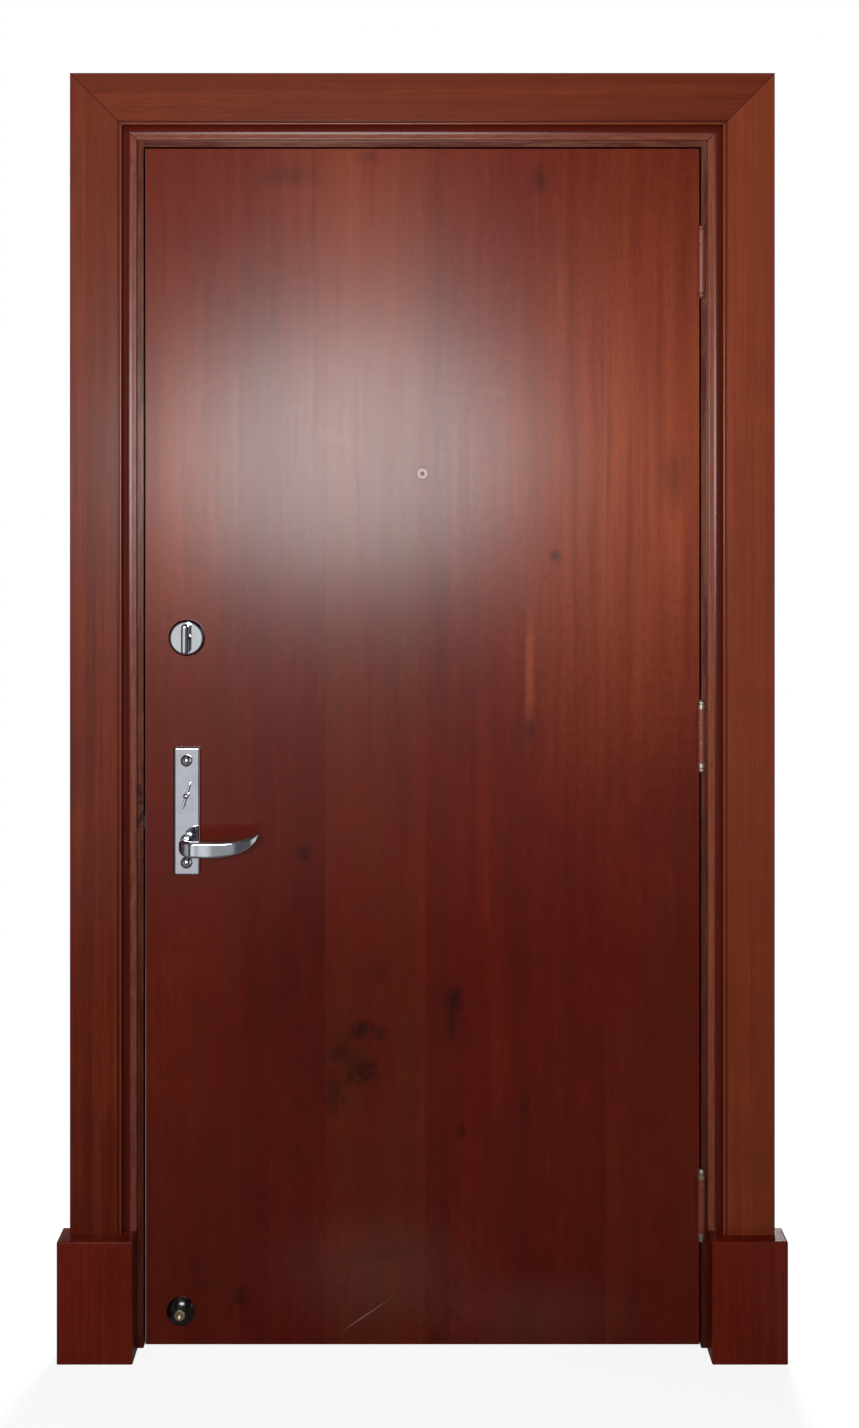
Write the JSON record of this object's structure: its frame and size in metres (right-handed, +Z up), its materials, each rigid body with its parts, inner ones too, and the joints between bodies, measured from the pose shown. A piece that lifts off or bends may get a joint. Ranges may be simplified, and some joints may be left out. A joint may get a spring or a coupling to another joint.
{
  "type": "exterior door",
  "caption": "Flush timber entrance door hung in a rebated frame with mitred moulded casing, plinth blocks, tipped butt hinges, lever lock, thumb-turn dead bolt and door viewer.",
  "frame": {"origin": "floor level, middle of the doorway, middle of the leaf's thickness", "axes": "+Z up, -Y towards the room that the leaf opens into, +X towards the hinges"},
  "size_m": [1.232, 0.1764, 2.18],
  "materials": {
    "jamb_wood": "stained and varnished, worn",
    "casing_wood": "red-brown stain, satin varnish",
    "leaf_wood": "red-brown stain, satin varnish",
    "frame_wood": "stained edge",
    "core_wood": "raw particle core",
    "seal_rubber": "matt",
    "stop_rubber": "smooth, slightly glossy",
    "polished_chrome": "polished",
    "lock_steel": "plain zinc plated",
    "hinge_paint": "painted over, worn",
    "hinge_steel": "worn paint on steel",
    "bush_plastic": "matt",
    "viewer_metal": "nickel plated",
    "viewer_glass": "clear lens"
  },
  "bodies": {
    "frame": {"lock_jamb": "jamb_wood", "hinge_jamb": "jamb_wood", "head_jamb": "jamb_wood", "lock_casing": "casing_wood", "hinge_casing": "casing_wood", "head_casing": "casing_wood", "lock_plinth": "casing_wood", "hinge_plinth": "casing_wood", "lock_seal": "seal_rubber", "hinge_seal": "seal_rubber", "head_seal": "seal_rubber", "latch_strike": "lock_steel", "deadbolt_strike": "lock_steel", "strike_screws": "lock_steel", "frame_hinge_screws": "lock_steel", "hinge_pins": "hinge_steel", "hinge_tips": "hinge_steel", "hinge_top_frame_leaf": "hinge_paint", "hinge_middle_frame_leaf": "hinge_paint", "hinge_bottom_frame_leaf": "hinge_paint"},
    "leaf": {"front_panel": "leaf_wood", "back_panel": "leaf_wood", "lock_stile": "frame_wood", "hinge_stile": "frame_wood", "top_rail": "frame_wood", "bottom_rail": "frame_wood", "core": "core_wood", "hinge_top_door_leaf": "hinge_paint", "hinge_middle_door_leaf": "hinge_paint", "hinge_bottom_door_leaf": "hinge_paint", "leaf_hinge_screws": "lock_steel", "lock_forend": "lock_steel", "lock_case": "lock_steel", "lock_cover": "lock_steel", "inside_plate": "polished_chrome", "outside_plate": "polished_chrome", "plate_bolts": "polished_chrome", "lever_bushes": "bush_plastic", "key_cylinder": "polished_chrome", "forend_screws": "lock_steel", "deadbolt_forend": "lock_steel", "deadbolt_case": "lock_steel", "deadbolt_rose": "polished_chrome", "deadbolt_cylinder": "polished_chrome", "viewer_inner": "viewer_metal", "viewer_outer": "viewer_metal", "viewer_lens": "viewer_glass", "door_stop_base": "stop_rubber", "door_stop_tip": "polished_chrome"},
    "lever_set": {"inside_lever": "polished_chrome", "outside_lever": "polished_chrome", "lever_spindle": "lock_steel", "lever_follower": "lock_steel"},
    "latch": {"latch_bolt": "lock_steel"},
    "deadbolt_turn": {"thumb_turn": "polished_chrome"},
    "deadbolt": {"dead_bolt": "lock_steel"},
    "snib": {"snib_turn": "polished_chrome"},
    "second_bolt": {"lock_bolt": "lock_steel"}
  },
  "joints": [
    {"name": "door_swing", "type": "hinge", "parent": "frame", "child": "leaf", "pos_m": [0.4765, -0.03, 0], "axis": [0, 0, 1], "range_deg": [0, 110]},
    {"name": "lever_turn", "type": "hinge", "parent": "leaf", "child": "lever_set", "pos_m": [-0.403, 0, 0.872], "axis": [0, 1, 0], "range_deg": [0, 40], "stiffness_Nm_per_rad": 1.6, "springref_deg": -34.38},
    {"name": "latch_slide", "type": "slide", "parent": "leaf", "child": "latch", "axis": [1, 0, 0], "range_m": [0, 0.012]},
    {"name": "deadbolt_turn", "type": "hinge", "parent": "leaf", "child": "deadbolt_turn", "pos_m": [-0.403, 0, 1.218], "axis": [0, -1, 0], "range_deg": [0, 90]},
    {"name": "deadbolt_slide", "type": "slide", "parent": "leaf", "child": "deadbolt", "axis": [-1, 0, 0], "range_m": [0, 0.02]},
    {"name": "snib_turn", "type": "hinge", "parent": "leaf", "child": "snib", "pos_m": [-0.403, 0, 0.949], "axis": [0, -1, 0], "range_deg": [0, 90]},
    {"name": "second_bolt_slide", "type": "slide", "parent": "leaf", "child": "second_bolt", "axis": [-1, 0, 0], "range_m": [0, 0.014]}
  ],
  "couplings": [
    {"joint": "latch_slide", "follows": "lever_turn", "m_per_rad": 0.017188},
    {"joint": "deadbolt_turn", "follows": "deadbolt_slide", "rad_per_m": 78.539},
    {"joint": "snib_turn", "follows": "second_bolt_slide", "rad_per_m": 112.2}
  ]
}
